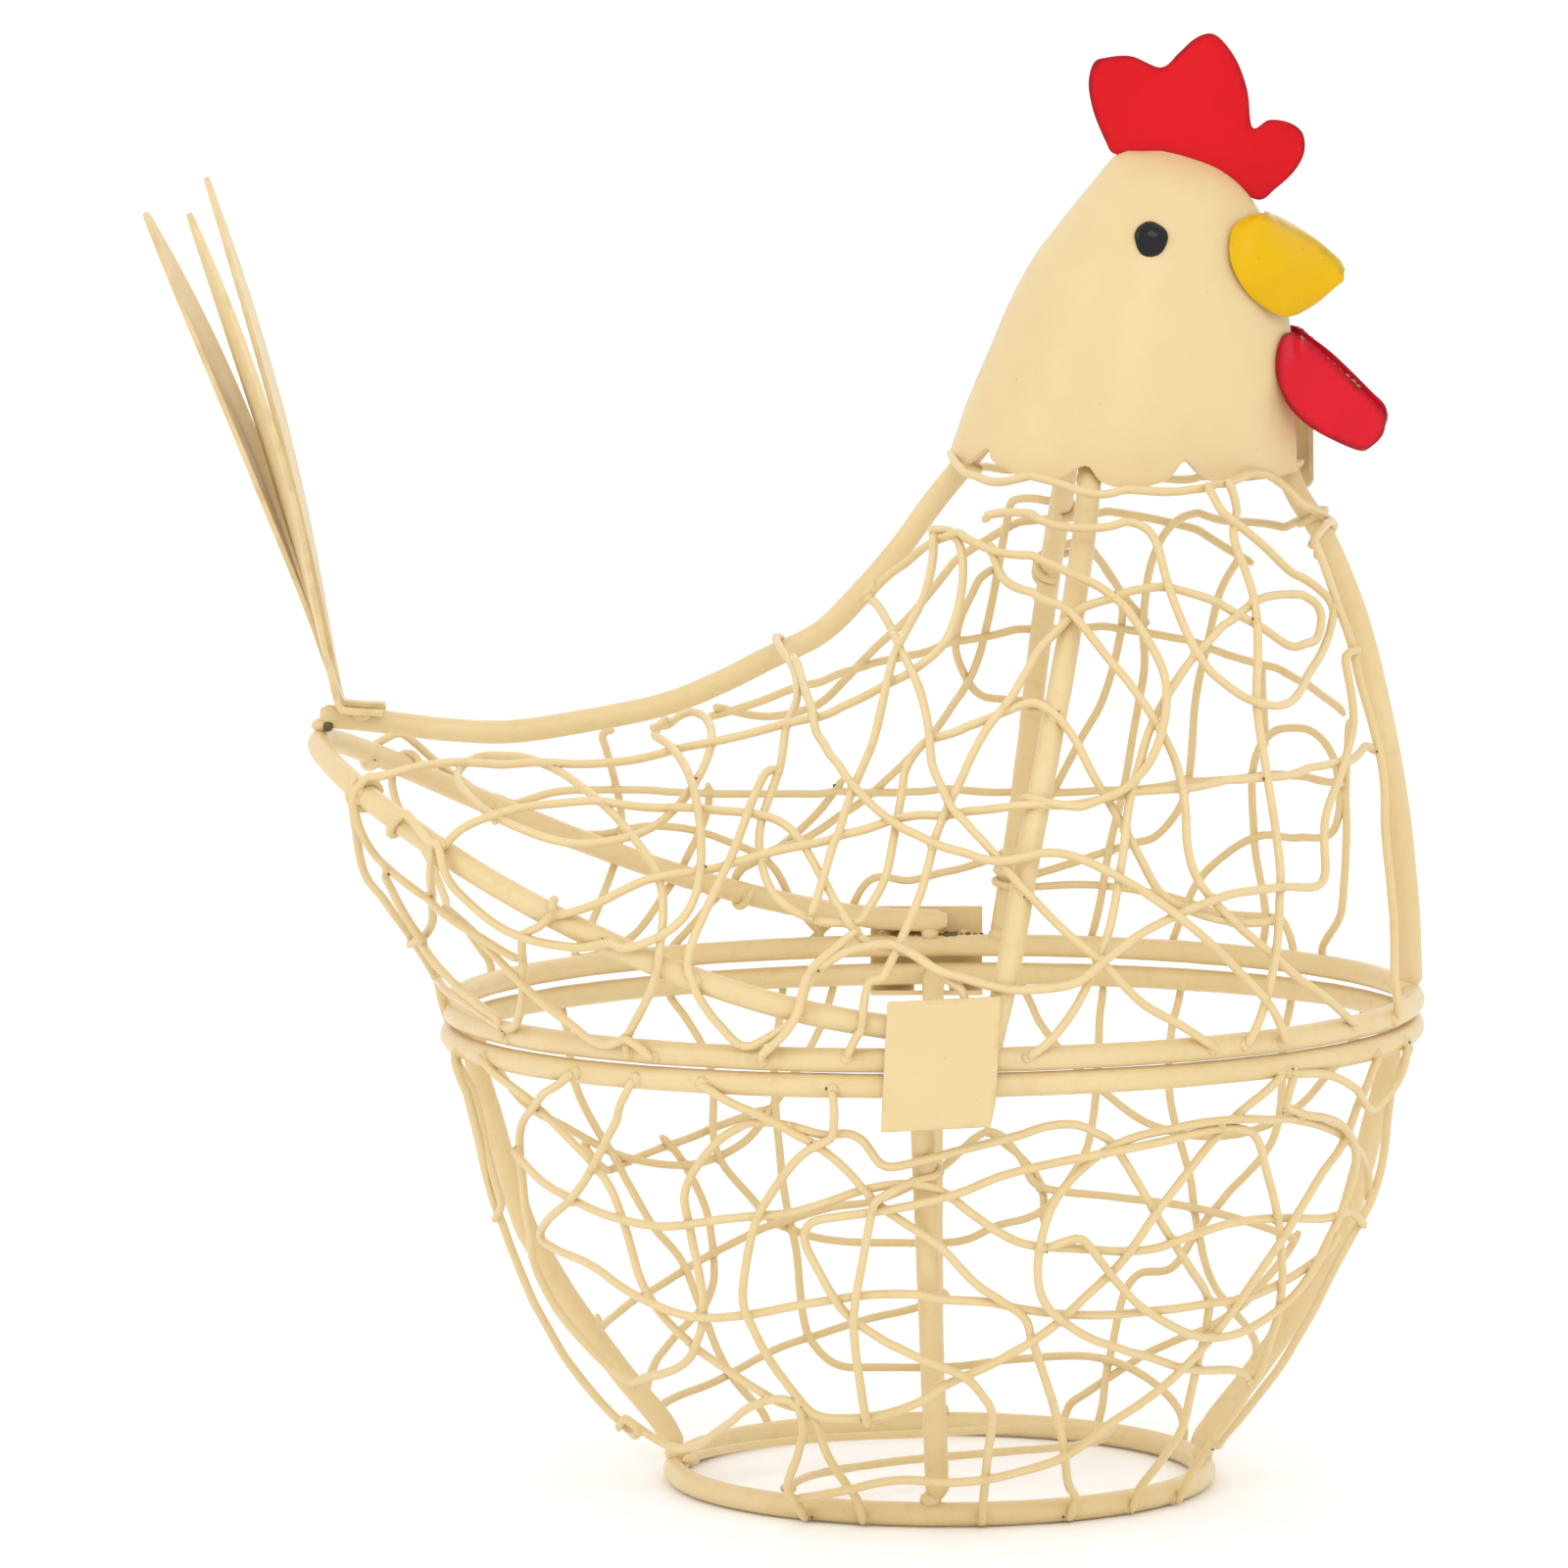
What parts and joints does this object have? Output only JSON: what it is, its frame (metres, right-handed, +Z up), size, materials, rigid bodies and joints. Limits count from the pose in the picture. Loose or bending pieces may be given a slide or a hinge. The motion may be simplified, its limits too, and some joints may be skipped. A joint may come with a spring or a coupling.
{
  "type": "egg collection basket",
  "caption": "Hen-shaped painted wire basket for eggs: round open bowl on a base ring, hinged wire body as the lid, sheet metal head, comb, beak, wattles and tail blades",
  "frame": {"origin": "centre of the bounding box in plan, on the table under the base ring", "axes": "+X towards the head, -Y the catch side, +Y the hinge side, +Z up; the lid is shut"},
  "size_m": [0.21, 0.165, 0.2377],
  "materials": {
    "cream_paint": "satin cream paint over iron wire and sheet",
    "red_gloss": "glossy red enamel on sheet metal",
    "yellow_gloss": "glossy yellow enamel on sheet metal",
    "black_gloss": "glossy black bead of enamel"
  },
  "bodies": {
    "basket": {"basket_base_ring": "cream_paint", "basket_floor_wire": "cream_paint", "basket_rib_breast": "cream_paint", "basket_rib_far": "cream_paint", "basket_rib_near": "cream_paint", "basket_rib_tail": "cream_paint", "basket_rim_ring": "cream_paint", "basket_wire_far_1": "cream_paint", "basket_wire_far_2": "cream_paint", "basket_wire_far_3": "cream_paint", "basket_wire_far_4": "cream_paint", "basket_wire_far_5": "cream_paint", "basket_wire_far_6": "cream_paint", "basket_wire_near_1": "cream_paint", "basket_wire_near_2": "cream_paint", "basket_wire_near_3": "cream_paint", "basket_wire_near_4": "cream_paint", "basket_wire_near_5": "cream_paint", "basket_wire_near_6": "cream_paint", "basket_wire_near_7": "cream_paint", "basket_wire_near_8": "cream_paint", "basket_wire_near_9": "cream_paint"},
    "lid": {"beak_far": "yellow_gloss", "beak_near": "yellow_gloss", "catch_plate": "cream_paint", "comb": "red_gloss", "eye_far": "black_gloss", "eye_near": "black_gloss", "head_shell_far": "cream_paint", "head_shell_near": "cream_paint", "hinge_plate": "cream_paint", "lid_breast_rib": "cream_paint", "lid_rib_far": "cream_paint", "lid_rib_near": "cream_paint", "lid_rim_ring": "cream_paint", "lid_spine": "cream_paint", "lid_tail_hoop": "cream_paint", "lid_wire_far_1": "cream_paint", "lid_wire_far_2": "cream_paint", "lid_wire_far_3": "cream_paint", "lid_wire_far_4": "cream_paint", "lid_wire_far_5": "cream_paint", "lid_wire_far_6": "cream_paint", "lid_wire_far_7": "cream_paint", "lid_wire_near_1": "cream_paint", "lid_wire_near_10": "cream_paint", "lid_wire_near_11": "cream_paint", "lid_wire_near_2": "cream_paint", "lid_wire_near_3": "cream_paint", "lid_wire_near_4": "cream_paint", "lid_wire_near_5": "cream_paint", "lid_wire_near_6": "cream_paint", "lid_wire_near_7": "cream_paint", "lid_wire_near_8": "cream_paint", "lid_wire_near_9": "cream_paint", "tail_feather_far": "cream_paint", "tail_feather_middle": "cream_paint", "tail_feather_near": "cream_paint", "wattle_far": "red_gloss", "wattle_near": "red_gloss"}
  },
  "joints": [
    {"name": "lid_hinge", "type": "hinge", "parent": "basket", "child": "lid", "pos_m": [0.02442, 0.07857, 0.0748], "axis": [-1, 0, 0], "range_deg": [0, 100]}
  ]
}
